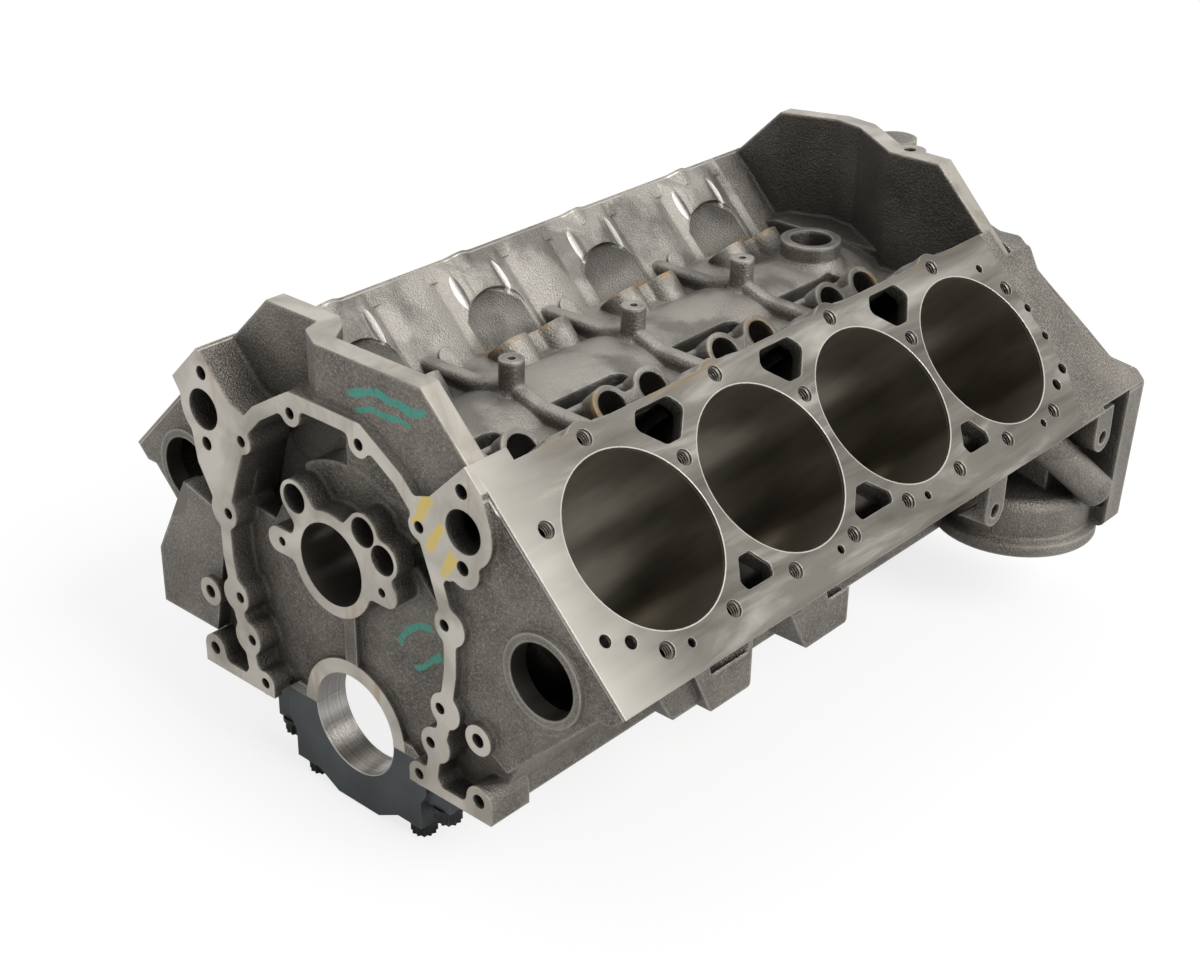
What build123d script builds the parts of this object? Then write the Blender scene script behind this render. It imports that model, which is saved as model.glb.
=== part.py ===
# A bare cast iron V8 engine block with its five main bearing caps and their bolts.
# X runs across the block, Y along the crankshaft from the timing face to the rear, Z is up.
# Places are given from the timing face. The finished pieces are moved so that the origin is on the
# crankshaft axis at the front face of the front main bearing. Sizes are millimetres.

from build123d import *
from math import atan2, cos, degrees, radians, sin, sqrt
import os

# Crankshaft, camshaft and cylinder layout
bank_angle = 45.0
bore_spacing = 111.76
bore_diameter = 104.775
deck_height = 229.235
bank_offset = 22.352
first_bore_y = 81.2
bores_per_bank = 4
cam_height = 114.83
cam_bore_diameter = 51.5
main_bore_diameter = 67.08
bore_bottom_height = 98.0

# How far the shapes that only cut run past the casting
cut_reach = 300.0

# Bank casting, measured outwards from the bore row's middle plane and up from the crankshaft
bank_front_y = 5.0
bank_end_margin = 76.2
valley_edge = 68.0
outer_edge = 76.0
outer_wall = 70.0
deck_thickness = 10.0
deck_lip = 13.0
deck_lip_slope = 6.0
bore_wall = 6.2
jacket_bottom_height = 128.0
jacket_valley_side = 63.0
jacket_outer_side = 64.5
jacket_end_wall = 9.0
bolt_column_radius = 9.0
bolt_column_depth = 42.0

# Head bolt holes and the small holes of the deck, as places along and across the deck
head_bolt_radius = 5.2
head_bolt_depth = 36.0
valley_bolt_row = -62.3
bridge_bolt_row = -28.1
outer_bolt_row = 56.8
outer_bolt_half_pitch = 28.1
edge_scallop_radius = 12.0
edge_scallop_row = -60.3
edge_hollow_radius = 14.0
deck_dowel_radius = 4.0
deck_dowel_depth = 14.0
deck_dowel_row = 43.6
deck_dowel_from_bore = 46.3
corner_water_radius = 3.8
corner_water_row = 36.4
corner_water_from_bore = 60.8
steam_hole_radius = 2.8
steam_hole_row = 60.2
rear_deck_hole_radius = 3.0

# Water passages between the bores
upper_passage_top = 63.3
upper_passage_shoulder = 54.0
upper_passage_foot = 38.5
upper_passage_half_width = 21.0
lower_passage_apex = 34.0
lower_passage_base = 52.5
lower_passage_half_widths = (13.5, 18.0, 13.5)
passage_depth = 16.0
fan_rounding = 5.2
wedge_rounding = 3.2

# Crankcase
pan_rail_z = -3.6
pan_rail_half_width = 119.0
pan_rail_thickness = 12.0
crankcase_wall = 8.0
crankcase_ceiling = 150.0
chest_floor_y = 16.0
rear_overhang = 66.464
flange_thickness = 20.0
gearbox_recess_depth = 12.0

# Main bearings
front_web_start = 11.8
front_web_thickness = 22.8
middle_web_thickness = 24.0
rear_web_thickness = 40.0
saddle_radius = 43.0
saddle_foot_half_width = 60.0
register_depth = 8.0
register_side_gap = 4.0
register_end_gap = 6.0
register_cut_reach = 40.0
rear_seal_step = 12.0

# Main bearing caps
cap_half_width = 76.0
cap_front_half_width = 60.0
cap_front_chamfer_top = 22.0
cap_wing_setback = 4.0
cap_body_half_width = 55.0
cap_wing_depth = 30.0
cap_shoulder_depth = 49.0
cap_depth = 58.0
cap_keel_half_width = 18.0
cap_keel_edge_half_width = 35.0
cap_clearance = 0.05

# Main cap bolts
inner_bolt_x = 45.7
outer_bolt_margin = 9.0
outer_bolt_x = cap_half_width - outer_bolt_margin
bolt_tip_gap = 4.0
bolt_shank_radius = 5.5
bolt_hole_clearance = 0.4
inner_bolt_reach = 48.0
outer_bolt_reach = 34.0
bolt_head_radius = 8.2
bolt_head_height = 11.0
bolt_flange_radius = 9.4
bolt_flange_height = 3.0
bolt_head_points = 12

# Timing face, with its bolt holes, water ports and the cover's bosses
timing_band_width = 9.0
timing_band_depth = 31.0
timing_hollow_radius = 4.0
timing_bolt_radius = 3.6
timing_boss_radius = 8.0
timing_side_boss_radius = 11.3
timing_bolts = ((28.0, 200.6), (73.5, 167.4), (91.0, 113.6), (86.0, 57.5), (77.6, 30.7), (67.5, 4.0))
side_boss_shift = 4.0
timing_foot_start = 59.6
timing_line_start = (0.0, 209.3)
timing_line = ((28.0, 209.0), (42.0, 200.5), (58.0, 190.5), (72.0, 176.0), (86.0, 140.0), (95.0, 113.6),
               (94.5, 84.0), (90.0, 57.5), (87.5, 43.0), (81.6, 30.7), (78.0, 8.0))
water_port_x = 106.7
water_port_z = 177.0
water_port_radius = 13.0
pump_port_boss_radius = 21.0
pump_bolt_boss_radius = 12.0
pump_pad_corner_x = 108.5
pump_bolt_x = 106.0
pump_bolt_z = (200.5, 155.0)
pump_bolt_radius = 4.4
front_lug_x = 115.2
front_lug_z = (50.0, 8.9)
front_lug_radius = 9.5
front_lug_hole_radius = 4.4
timing_left_depth = 36.0
chest_corner_radius = 7.0

# Camshaft boss inside the timing chest
cam_ring_radius = 33.0
cam_hollow_radius = 5.0
cam_ear_reach = 45.7
cam_ear_radius = 8.3
cam_ear_z = 113.8
cam_ear_hole_x = 42.0
cam_ear_hole_radius = 2.9
gallery_hole_radius = 9.2
gallery_boss_radius = 11.7
gallery_holes = ((-29.0, 146.7), (28.2, 146.7), (43.5, 134.8))
gallery_hole_depth = 24.0
saddle_rib_half_width = 5.0

# End walls of the lifter valley
wall_top_z = 247.65
wall_deck_step = 2.0
wall_reach_x = 130.0
front_wall_thickness = 13.0
front_wall_right_y = 4.0
front_wall_left_y = 25.5
rear_wall_thickness = 12.0
rear_wall_behind_bore = 70.5
rear_wall_boss = (42.0, 13.0)
rear_wall_boss_radius = 11.0
rear_wall_boss_hole_radius = 4.2
rear_wall_round = (15.0, 36.0)
rear_wall_round_radius = 15.0
wall_foot_z = 150.0

# Lifter valley
lifter_radius = 10.7
lifter_offset = 81.2
lifter_boss_top = 158.0
lifter_boss_bottom = 124.0
lifter_boss_hollow_radius = 4.0
lifter_boss_radius = 14.4
lifter_pair_half_pitch = 18.75
lifter_pair_shifts = (0.6, 4.4, 0.6, 4.4)
lifter_pocket_half_length = 32.0
valley_wall = 66.5
valley_column_crest = 70.2
valley_column_slope_foot = 200.0
brow_crest = 74.0
brow_slope_foot = 210.0
brow_arch_face = 69.0
brow_arch_half_width = 25.0
brow_arch_spring = 184.0
brow_arch_rise = 15.0
brow_arch_depth = 20.0
wall_root = 4.0
wall_tab_half_width = 7.0
wall_tab_face = 72.0
wall_tab_top = 167.0
valley_floor_z = 163.0
valley_ridge_z = 172.0
valley_ridge_half_width = 36.0
valley_window_x = 28.5
valley_window_width = 13.0
valley_window_length = 66.0
valley_post_radius = 8.0
valley_post_top_z = 194.0
valley_post_hole_radius = 2.6
valley_rib_width = 13.0
valley_rib_rounding = 5.0
valley_rib_bend_x = 24.0
valley_skirt_radius = 15.0
valley_skirt_height = 12.0
valley_window_lip = 4.0
valley_window_lip_height = 5.0
distributor_behind_bore = 33.5
distributor_hole_radius = 14.5
distributor_boss_radius = 21.0
distributor_boss_z = 186.0
distributor_skirt_radius = 30.0

# Core plug holes
front_core_height = 190.0
front_core_out = 37.0
front_core_radius = 22.2
front_core_rim = 5.5
front_core_rim_height = 3.0
side_core_height = 186.0
side_core_radius = 20.6

# Rear flange for the gearbox housing
flange_outline = ((71.0, 194.0), (90.0, 187.5), (106.0, 188.0), (115.0, 180.0), (118.0, 171.0),
                  (134.0, 159.0), (167.0, 135.0), (186.0, 120.5), (206.0, 118.0), (213.0, 111.0),
                  (209.0, 3.0), (150.0, -3.6))
flange_bolts = ((196.0, 92.0), (202.0, 22.0), (92.0, 172.0))
flange_bolt_radius = 4.9
flange_corner_radius = 6.0
flange_dowel = (155.0, 122.0)
flange_dowel_radius = 7.94
flange_dowel_length = 24.0
flange_dowel_depth = 14.0
flange_dowel_clearance = 0.02
flange_dowel_boss_radius = 14.5

# Oil filter boss
filter_x = 149.5
filter_from_rear = 40.0
filter_radius = 57.5
filter_recess_radius = 50.0
filter_recess_depth = 7.0
filter_lip = 8.0
filter_neck_radius = 52.0
filter_shoulder_z = 27.0
filter_shoulder_radius = 9.0
filter_top_z = 52.0
filter_stud_radius = 10.0
oil_passage_start = (173.0, 442.0, 113.0)
oil_passage_end = (207.0, 514.0, 38.0)
oil_passage_radius = 12.5

# Ears that hang under the deck's outer edge, with a bolt hole each
edge_ear_places = ((367.0, 82.0), (503.0, 84.0))
edge_ear_radius = 10.5
edge_ear_hole_radius = 4.6
edge_ear_hole_depth = 20.0
edge_ear_face_x = 211.0

# Side mount bosses and fuel pump pad, as front top, front foot and rear along the crankshaft
mount_boss_x = 181.0
mount_boss_top_z = 84.0
mount_boss_foot_z = 39.0
mount_boss_spans = ((98.0, 121.0, 158.0), (187.0, 212.0, 254.0))
mount_boss_inner_x = 130.0
mount_boss_rounding = 2.5
mount_small_lug_x = 176.0
mount_small_lug_span = (68.0, 93.0, 118.0)
mount_small_lug_foot_z = 45.0
pump_pad_x = 172.0
pump_pad_y = (6.0, 92.0)
pump_pad_z = (18.0, 57.0)
pump_pad_top_x = 141.0
pump_pad_top_z = 115.0

# Pan rail bolts
pan_bolt_radius = 3.1
pan_bolt_depth = 16.0
pan_bolt_x = 111.0
pan_bolt_count = 7
pan_bolts_front_margin = 24.0
pan_bolts_rear_margin = 130.0

main_middle_y = [first_bore_y + (bank_offset - bore_spacing) / 2 + bore_spacing * k for k in range(5)]
web_spans = [(front_web_start, front_web_start + front_web_thickness)]
web_spans += [(y - middle_web_thickness / 2, y + middle_web_thickness / 2) for y in main_middle_y[1:4]]
web_spans += [(main_middle_y[4] - middle_web_thickness / 2,
               main_middle_y[4] - middle_web_thickness / 2 + rear_web_thickness)]
bore_places = [first_bore_y + bore_spacing * k for k in range(bores_per_bank)]
lifter_pair_places = [y + shift for y, shift in zip(bore_places, lifter_pair_shifts)]
last_bore_y = bore_places[-1]
bank_rear_y = last_bore_y + bank_end_margin
rear_face_y = main_middle_y[4] + rear_overhang
flange_front_y = rear_face_y - flange_thickness
rear_wall_y = rear_face_y - gearbox_recess_depth
filter_y = rear_face_y - filter_from_rear
distributor_y = last_bore_y + distributor_behind_bore
bank_cos = cos(radians(bank_angle))
bank_sin = sin(radians(bank_angle))
valley_floor_edge = valley_floor_z - 2 * bank_sin * valley_wall
valley_wall_plane = Plane(origin=(0, 0, 0), x_dir=(0, 1, 0), z_dir=(-bank_cos, 0, bank_sin))
bank_plane = Plane(origin=(0, 0, 0), x_dir=(bank_cos, 0, -bank_sin), z_dir=(bank_sin, 0, bank_cos))


# Places and simple solids

def bank_xz(outward, height):
    """The X and Z of a place given across the right bank and up its bore axis."""
    return (outward * bank_cos + height * bank_sin, height * bank_cos - outward * bank_sin)


def prism(outline, y_start, y_end, rounding=0.0):
    """A prism along Y on an outline of X and Z values."""
    return through_y(face_sketch(outline, rounding), y_start, y_end)


def slab(outline, z_start, z_end, rounding=0.0):
    """A prism along Z on an outline of X and Y values."""
    return extrude(Pos(0, 0, z_start) * face_sketch(outline, rounding), amount=z_end - z_start)


def rod(x, z, radius, y_start, y_end):
    """A round bar along Y."""
    length = y_end - y_start
    return Pos(x, y_start + length / 2, z) * Rot(90, 0, 0) * Cylinder(radius, length)


def post(x, y, radius, z_start, z_end):
    """A round bar along Z."""
    return Pos(x, y, (z_start + z_end) / 2) * Cylinder(radius, z_end - z_start)


def bank_rod(outward, y, radius, low, high):
    """A round bar along the right bank's bore direction."""
    return bank_plane * Pos(outward, y, (low + high) / 2) * Cylinder(radius, high - low)


def bank_box(out_range, y_range, height_range):
    """A block squared to the right bank."""
    size = [b - a for a, b in (out_range, y_range, height_range)]
    middle = [(a + b) / 2 for a, b in (out_range, y_range, height_range)]
    return bank_plane * Pos(*middle) * Box(*size)


def face_sketch(outline, rounding=0.0):
    """A flat outline, with its corners rounded where a radius is given."""
    face = make_face(Polyline(*outline, close=True))
    return fillet(face.vertices(), rounding) if rounding > 0 else face


def flat_strip(start, end, width):
    """A straight band with round ends, drawn flat."""
    run = Vector(end[0] - start[0], end[1] - start[1])
    place = Pos((start[0] + end[0]) / 2, (start[1] + end[1]) / 2) * Rot(0, 0, degrees(atan2(run.Y, run.X)))
    return place * SlotCenterToCenter(run.length, width)


def disc(x, z, radius):
    return Pos(x, z) * Circle(radius)


def soft_union(faces, hollow_radius):
    """Several flat shapes as one, with every hollow corner between them rounded."""
    joined = Sketch() + faces
    return offset(offset(joined, hollow_radius), -hollow_radius)


def through_y(face, y_start, y_end):
    """A flat shape drawn in X and Z, taken along Y."""
    face_plane = Plane(origin=(0, y_start, 0), x_dir=(1, 0, 0), z_dir=(0, -1, 0))
    return extrude(face_plane * face, amount=y_start - y_end)


def along_bank(face, low, high):
    """A flat shape drawn across and along the right bank, taken up its bore axis."""
    return extrude(bank_plane * Pos(0, 0, low) * face, amount=high - low)


def bar(start, end, radius):
    """A round bar between two places."""
    way = Vector(*end) - Vector(*start)
    return Plane(origin=start, z_dir=way) * Pos(0, 0, way.length / 2) * Cylinder(radius, way.length)


def on_left_bank(shape):
    """The same shape on the left bank, which sits further back."""
    return Pos(0, bank_offset, 0) * mirror(shape, about=Plane.YZ)


def on_both_banks(shapes):
    return list(shapes) + [on_left_bank(shape) for shape in shapes]


def both_sides(places):
    return [(side * x, z) for x, z in places for side in (1, -1)]


# Bank castings

def bank_body():
    """The bank's outer form, with a thicker lip along the deck's outer edge."""
    lip_foot = deck_height - deck_lip
    section = [bank_xz(*place) for place in (
        (-valley_wall, deck_height), (outer_edge, deck_height), (outer_edge, lip_foot),
        (outer_wall, lip_foot - deck_lip_slope), (outer_wall, bore_bottom_height + 20),
        (0, bore_bottom_height), (-valley_wall, lifter_boss_bottom))]
    return prism(section, bank_front_y, bank_rear_y)


def deck_valley_edge():
    """The deck's edge over the valley, which swells around each head bolt of its row."""
    straight = Pos(-valley_edge / 2, (bank_front_y + bank_rear_y) / 2) * Rectangle(
        valley_edge, bank_rear_y - bank_front_y)
    lobes = [Pos(edge_scallop_row, y) * Circle(edge_scallop_radius) for y in bore_places]
    return [along_bank(soft_union([straight] + lobes, edge_hollow_radius), deck_height - deck_lip,
                       deck_height)]


def deck_rear_shelf():
    """The deck plane runs on behind the last cylinder to meet the gearbox flange."""
    front = bank_rear_y - 2
    outline = [(-48, front), (-48, bank_rear_y + 30), (-25, bank_rear_y + 20), (20, bank_rear_y + 27),
               (45, bank_rear_y + 37), (65, bank_rear_y + 57), (72, bank_rear_y + 57), (72, front)]
    return along_bank(face_sketch(outline, 3.0), deck_height - deck_lip, deck_height)


def behind_rear_face():
    """The space behind the gearbox face, which trims the shelves of both decks."""
    size = 2 * cut_reach
    return Pos(0, rear_face_y + cut_reach, 0) * Box(size, size, size)


def water_jacket():
    cavity = bank_box((-jacket_valley_side, jacket_outer_side),
                      (bank_front_y + jacket_end_wall, bank_rear_y - jacket_end_wall),
                      (jacket_bottom_height, deck_height - deck_thickness))
    barrels = [bank_rod(0, y, bore_diameter / 2 + bore_wall, jacket_bottom_height - 1, deck_height)
               for y in bore_places]
    columns = [bank_rod(outward, y, bolt_column_radius, deck_height - bolt_column_depth, deck_height)
               for outward, y in head_bolt_places()]
    return cavity - barrels - columns


def head_bolt_places():
    valley = [(valley_bolt_row, y) for y in bore_places]
    bridge = [(bridge_bolt_row, bore_places[0] - bore_spacing / 2 + bore_spacing * k)
              for k in range(bores_per_bank + 1)]
    outer = [(outer_bolt_row, y + side * outer_bolt_half_pitch) for y in bore_places for side in (-1, 1)]
    return valley + bridge + outer


def cylinder_bores():
    return [bank_rod(0, y, bore_diameter / 2, bore_bottom_height - 30, deck_height + 1)
            for y in bore_places]


def deck_holes():
    holes = [bank_rod(outward, y, head_bolt_radius, deck_height - head_bolt_depth, deck_height + 1)
             for outward, y in head_bolt_places()]
    ends = (first_bore_y - deck_dowel_from_bore, last_bore_y + deck_dowel_from_bore)
    holes += [bank_rod(deck_dowel_row, y, deck_dowel_radius, deck_height - deck_dowel_depth,
                       deck_height + 1) for y in ends]
    corners = (first_bore_y - corner_water_from_bore, last_bore_y + corner_water_from_bore)
    holes += [bank_rod(corner_water_row, y, corner_water_radius, deck_height - passage_depth,
                       deck_height + 1) for y in corners]
    steam_places = (first_bore_y - 10.5, bore_places[1] + 12, bore_places[2] - 10.3, last_bore_y + 12)
    holes += [bank_rod(steam_hole_row, y, steam_hole_radius, deck_height - passage_depth,
                       deck_height + 1) for y in steam_places]
    rear_places = ((-47.6, last_bore_y + 42.7), (-9.6, last_bore_y + 64.6), (12, last_bore_y + 64.6))
    holes += [bank_rod(outward, y, rear_deck_hole_radius, deck_height - passage_depth, deck_height + 1)
              for outward, y in rear_places]
    return holes


def water_passages():
    """The fan shaped passages on the valley side and the smaller ones on the outer side."""
    cuts = []
    for k, half_width in enumerate(lower_passage_half_widths):
        middle = bore_places[k] + bore_spacing / 2
        fan = [(-upper_passage_shoulder, -upper_passage_half_width), (-upper_passage_top, -14),
               (-upper_passage_top, 14), (-upper_passage_shoulder, upper_passage_half_width),
               (-upper_passage_foot, 6), (-upper_passage_foot, -6)]
        wedge = [(lower_passage_apex, -5), (lower_passage_apex, 5),
                 (lower_passage_base - 6, half_width), (lower_passage_base, half_width - 2),
                 (lower_passage_base, 2 - half_width), (lower_passage_base - 6, -half_width)]
        for outline, rounding in ((fan, fan_rounding), (wedge, wedge_rounding)):
            face = fillet(make_face(Polyline(*outline, close=True)).vertices(), rounding)
            place = bank_plane * Pos(0, middle, deck_height - passage_depth)
            cuts.append(extrude(place * face, amount=passage_depth + 1))
    return cuts


def lifter_bosses():
    """Each pair of lifters runs in a double boss at the foot of the valley wall."""
    bosses = []
    for middle in lifter_pair_places:
        rings = [Pos(-lifter_offset, middle + side * lifter_pair_half_pitch) * Circle(lifter_boss_radius)
                 for side in (-1, 1)]
        bridge = Pos(-(lifter_offset + valley_wall) / 2, middle) * Rectangle(
            lifter_offset - valley_wall + 10, 2 * lifter_pair_half_pitch)
        bosses.append(along_bank(soft_union(rings + [bridge], lifter_boss_hollow_radius),
                                 lifter_boss_bottom, lifter_boss_top))
    return bosses


def brow_arch(middle):
    """The flat facet under a brow, with an arched top."""
    foot = lifter_boss_top - 1
    arch = Pos(middle, -(brow_arch_spring + foot) / 2) * Rectangle(
        2 * lifter_pocket_half_length, brow_arch_spring - foot)
    arch += Pos(middle, -brow_arch_spring) * Ellipse(brow_arch_half_width, brow_arch_rise)
    return extrude(valley_wall_plane * Pos(0, 0, brow_arch_face) * arch, amount=brow_arch_depth)


def wall_swell(start, end, crest, slope_foot):
    """A bulge of the valley wall between two places, which slopes back to the deck's edge."""
    root = wall_root - valley_wall
    swell = ThreePointArc((-valley_wall, start), (-crest, (start + end) / 2), (-valley_wall, end))
    back = Polyline(swell @ 1, (root, end), (root, start), swell @ 0)
    bulge = along_bank(make_face(swell + back), lifter_boss_bottom, deck_height)
    slope = [(root, lifter_boss_bottom), (-crest, lifter_boss_bottom), (-crest, slope_foot),
             (-valley_edge, deck_height - 2), (root, deck_height - 2)]
    return bulge & prism([bank_xz(*place) for place in slope], start - 1, end + 1)


def wall_columns():
    """The valley wall swells between the lifter pairs."""
    starts = [bank_front_y] + [y + lifter_pocket_half_length for y in lifter_pair_places]
    ends = [y - lifter_pocket_half_length for y in lifter_pair_places] + [bank_rear_y]
    return [wall_swell(start, end, valley_column_crest, valley_column_slope_foot)
            for start, end in zip(starts, ends)]


def wall_tabs():
    """Small flat tabs with round tops, low on the columns between two lifter pairs."""
    tabs = []
    foot = lifter_boss_bottom + 10
    for k in range(bores_per_bank - 1):
        middle = (lifter_pair_places[k] + lifter_pair_places[k + 1]) / 2
        face = Pos(middle, -wall_tab_top) * Circle(wall_tab_half_width)
        face += Pos(middle, -(wall_tab_top + foot) / 2) * Rectangle(
            2 * wall_tab_half_width, wall_tab_top - foot)
        tabs.append(extrude(valley_wall_plane * Pos(0, 0, valley_wall - wall_root) * face,
                            amount=wall_tab_face - valley_wall + wall_root))
    return tabs


def wall_brows():
    """A brow over each lifter pair, with a facet under it."""
    return [wall_swell(middle - lifter_pocket_half_length, middle + lifter_pocket_half_length, brow_crest,
                       brow_slope_foot) - brow_arch(middle) for middle in lifter_pair_places]


def lifter_bores():
    return [bank_rod(-lifter_offset, y + side * lifter_pair_half_pitch, lifter_radius,
                     bore_bottom_height + 4, deck_height - 8)
            for y in lifter_pair_places for side in (-1, 1)]


def front_core_rim_ring():
    x, z = bank_xz(front_core_out, front_core_height)
    return rod(x, z, front_core_radius + front_core_rim, bank_front_y - front_core_rim_height,
               bank_front_y + jacket_end_wall)


def core_holes():
    x, z = bank_xz(front_core_out, front_core_height)
    holes = [rod(x, z, front_core_radius, bank_front_y - 10, bank_front_y + jacket_end_wall + 6)]
    holes += [bank_plane * Pos(outer_wall, y + bore_spacing / 2, side_core_height)
              * Rot(0, 90, 0) * Cylinder(side_core_radius, 24) for y in bore_places[:3]]
    return holes


# Crankcase, webs and valley floor

def crankcase_body():
    wall_top = bank_xz(outer_wall, bore_bottom_height + 20)
    right = [(pan_rail_half_width, pan_rail_z), (pan_rail_half_width, pan_rail_z + pan_rail_thickness),
             wall_top, (valley_floor_edge + 2, valley_floor_z)]
    left = [(-x, z) for x, z in reversed(right)]
    return prism(right + left, chest_floor_y, rear_wall_y)


def crankcase_bays():
    """The space between two main webs, open to the sump, with the cylinders reaching down into it."""
    inner_edge = outer_wall - crankcase_wall
    low = bank_xz(inner_edge, bore_bottom_height + 20)
    high = bank_xz(inner_edge, jacket_bottom_height - 7)
    valley = bank_xz(-58, jacket_bottom_height - 7)
    half = [(pan_rail_half_width - 16, pan_rail_z - 1), (pan_rail_half_width - 16, pan_rail_z + 8),
            (pan_rail_half_width - crankcase_wall, 22), low, high, valley, (40, crankcase_ceiling)]
    outline = half + [(-x, z) for x, z in reversed(half)]
    barrels = on_both_banks([bank_rod(0, y, bore_diameter / 2 + bore_wall, bore_bottom_height,
                                      jacket_bottom_height + 5) for y in bore_places])
    bays = []
    for k in range(4):
        bays.append(prism(outline, web_spans[k][1], web_spans[k + 1][0]) - barrels)
    return bays


def main_line_cuts():
    """Bearing bore, cam bore, and the register that each cap sits in."""
    cuts = [rod(0, 0, main_bore_diameter / 2, 0, web_spans[4][1] + 1),
            rod(0, 0, main_bore_diameter / 2 + rear_seal_step, web_spans[4][1], rear_face_y + 1),
            rod(0, cam_height, cam_bore_diameter / 2, -1, rear_face_y + 1)]
    half = cap_half_width + register_side_gap
    below = pan_rail_z - register_cut_reach
    for start, end in web_spans:
        cuts.append(prism([(-half, below), (half, below), (half, 0), (-half, 0)],
                          start - register_end_gap, end + register_end_gap))
        middle = (start + end) / 2
        for side in (-1, 1):
            cuts.append(post(side * inner_bolt_x, middle, bolt_shank_radius, -1, inner_bolt_reach))
            cuts.append(post(side * outer_bolt_x, middle, bolt_shank_radius, -1, outer_bolt_reach))
    return cuts


def window_places():
    return [y - 6.0 for y in bore_places]


def window_lips():
    """A thick round lip around each window of the valley floor."""
    length = valley_window_length + 2 * valley_window_lip
    width = valley_window_width + 2 * valley_window_lip
    lips = []
    for middle in window_places():
        lip = extrude(Pos(valley_window_x, middle, valley_floor_z - 2)
                      * SlotOverall(length, width, rotation=90), amount=valley_window_lip_height + 2)
        lips.append(fillet(lip.edges().group_by(Axis.Z)[-1], 2.5))
    return lips


def valley_windows():
    """Slots through the valley floor between the cam tunnel and the right lifters."""
    slots = []
    for middle in window_places():
        outline = SlotOverall(valley_window_length, valley_window_width, rotation=90)
        slots.append(extrude(Pos(valley_window_x, middle, crankcase_ceiling - 12) * outline,
                             amount=valley_ridge_z - crankcase_ceiling + 20))
    return slots


def valley_ridge():
    """The swell of the valley floor over the camshaft."""
    foot = valley_floor_z - 2
    swell = ThreePointArc((-valley_ridge_half_width, foot), (0, valley_ridge_z),
                          (valley_ridge_half_width, foot))
    under = Polyline(swell @ 1, (valley_ridge_half_width, foot - 8), (-valley_ridge_half_width, foot - 8),
                     swell @ 0)
    return through_y(make_face(swell + under), chest_floor_y, rear_wall_y)


def skirted_post(y, radius, skirt_radius, top_z):
    """A round boss on the valley's middle line, with a sloping skirt around its foot."""
    foot = valley_floor_z
    skirt = Pos(0, y, foot + valley_skirt_height / 2) * Cone(skirt_radius, radius, valley_skirt_height)
    return [post(0, y, radius, foot - 4, top_z), skirt]


def valley_rib(y, side):
    """A round backed rib from a post out to one valley wall."""
    half_width = valley_rib_width / 2
    outline = [(0, valley_floor_z - 4), (valley_floor_edge + 4, valley_floor_z - 4),
               (valley_floor_edge + 8, valley_floor_z + 9), (valley_rib_bend_x, valley_ridge_z + 1),
               (0, valley_ridge_z + 9)]
    rib = prism([(side * x, z) for x, z in outline], y - half_width, y + half_width)
    back_edges = [edge for edge in rib.edges()
                  if edge.center().Z > valley_floor_z + 6 and 1 < abs(edge.center().X) < valley_floor_edge
                  and abs(edge.center().Y - y) > 1]
    return fillet(back_edges, valley_rib_rounding)


def valley_posts():
    """Bosses for the lifter guide plate, each with a rib to both sides, and the distributor's seat."""
    adds = []
    for y in main_middle_y[1:4]:
        adds += skirted_post(y, valley_post_radius, valley_skirt_radius, valley_post_top_z)
        adds += [valley_rib(y, side) for side in (-1, 1)]
    return adds + skirted_post(distributor_y, distributor_boss_radius, distributor_skirt_radius,
                               distributor_boss_z)


def valley_holes():
    holes = [post(0, y, valley_post_hole_radius, valley_post_top_z - 20, valley_post_top_z + 1)
             for y in main_middle_y[1:4]]
    holes.append(post(0, distributor_y, distributor_hole_radius, cam_height, distributor_boss_z + 1))
    return holes


# End walls of the valley

def above_deck():
    """The space over both deck planes, which trims what stands between the banks."""
    top = bank_box((-cut_reach, cut_reach), (-cut_reach, rear_face_y + cut_reach),
                   (deck_height - wall_deck_step, deck_height + cut_reach))
    return [top, mirror(top, about=Plane.YZ)]


def valley_front_wall():
    right_front = front_wall_right_y
    right_back = right_front + front_wall_thickness
    left_front = front_wall_left_y
    left_back = left_front + front_wall_thickness
    outline = [(wall_reach_x, right_front), (-9, right_front), (-26, right_front + 9),
               (-30, left_front), (-wall_reach_x, left_front), (-wall_reach_x, left_back),
               (-26, left_back), (-15, left_back - 8), (-6, right_back), (wall_reach_x, right_back)]
    return slab(outline, wall_foot_z, wall_top_z, rounding=4.0)


def valley_rear_wall():
    right_front = last_bore_y + rear_wall_behind_bore
    right_back = right_front + rear_wall_thickness
    left_front = right_front + bank_offset - 2
    left_back = left_front + rear_wall_thickness
    outline = [(wall_reach_x, right_front), (34, right_front), (-12, right_front + 31),
               (-34, right_front + 35), (-74, left_front), (-wall_reach_x, left_front),
               (-wall_reach_x, left_back), (-74, left_back), (-32, right_front + 47),
               (-8, right_front + 44), (34, right_back + 4), (wall_reach_x, right_back)]
    wall = slab(outline, wall_foot_z, wall_top_z, rounding=3.0)
    boss_x, boss_back = rear_wall_boss
    round_x, round_back = rear_wall_round
    bosses = [post(boss_x, right_front + boss_back, rear_wall_boss_radius, wall_foot_z, wall_top_z),
              post(round_x, right_front + round_back, rear_wall_round_radius, wall_foot_z,
                   wall_top_z - 3)]
    hole = post(boss_x, right_front + boss_back, rear_wall_boss_hole_radius, wall_top_z - 25,
                wall_top_z + 1)
    return wall + bosses - hole


# Timing face

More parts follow.
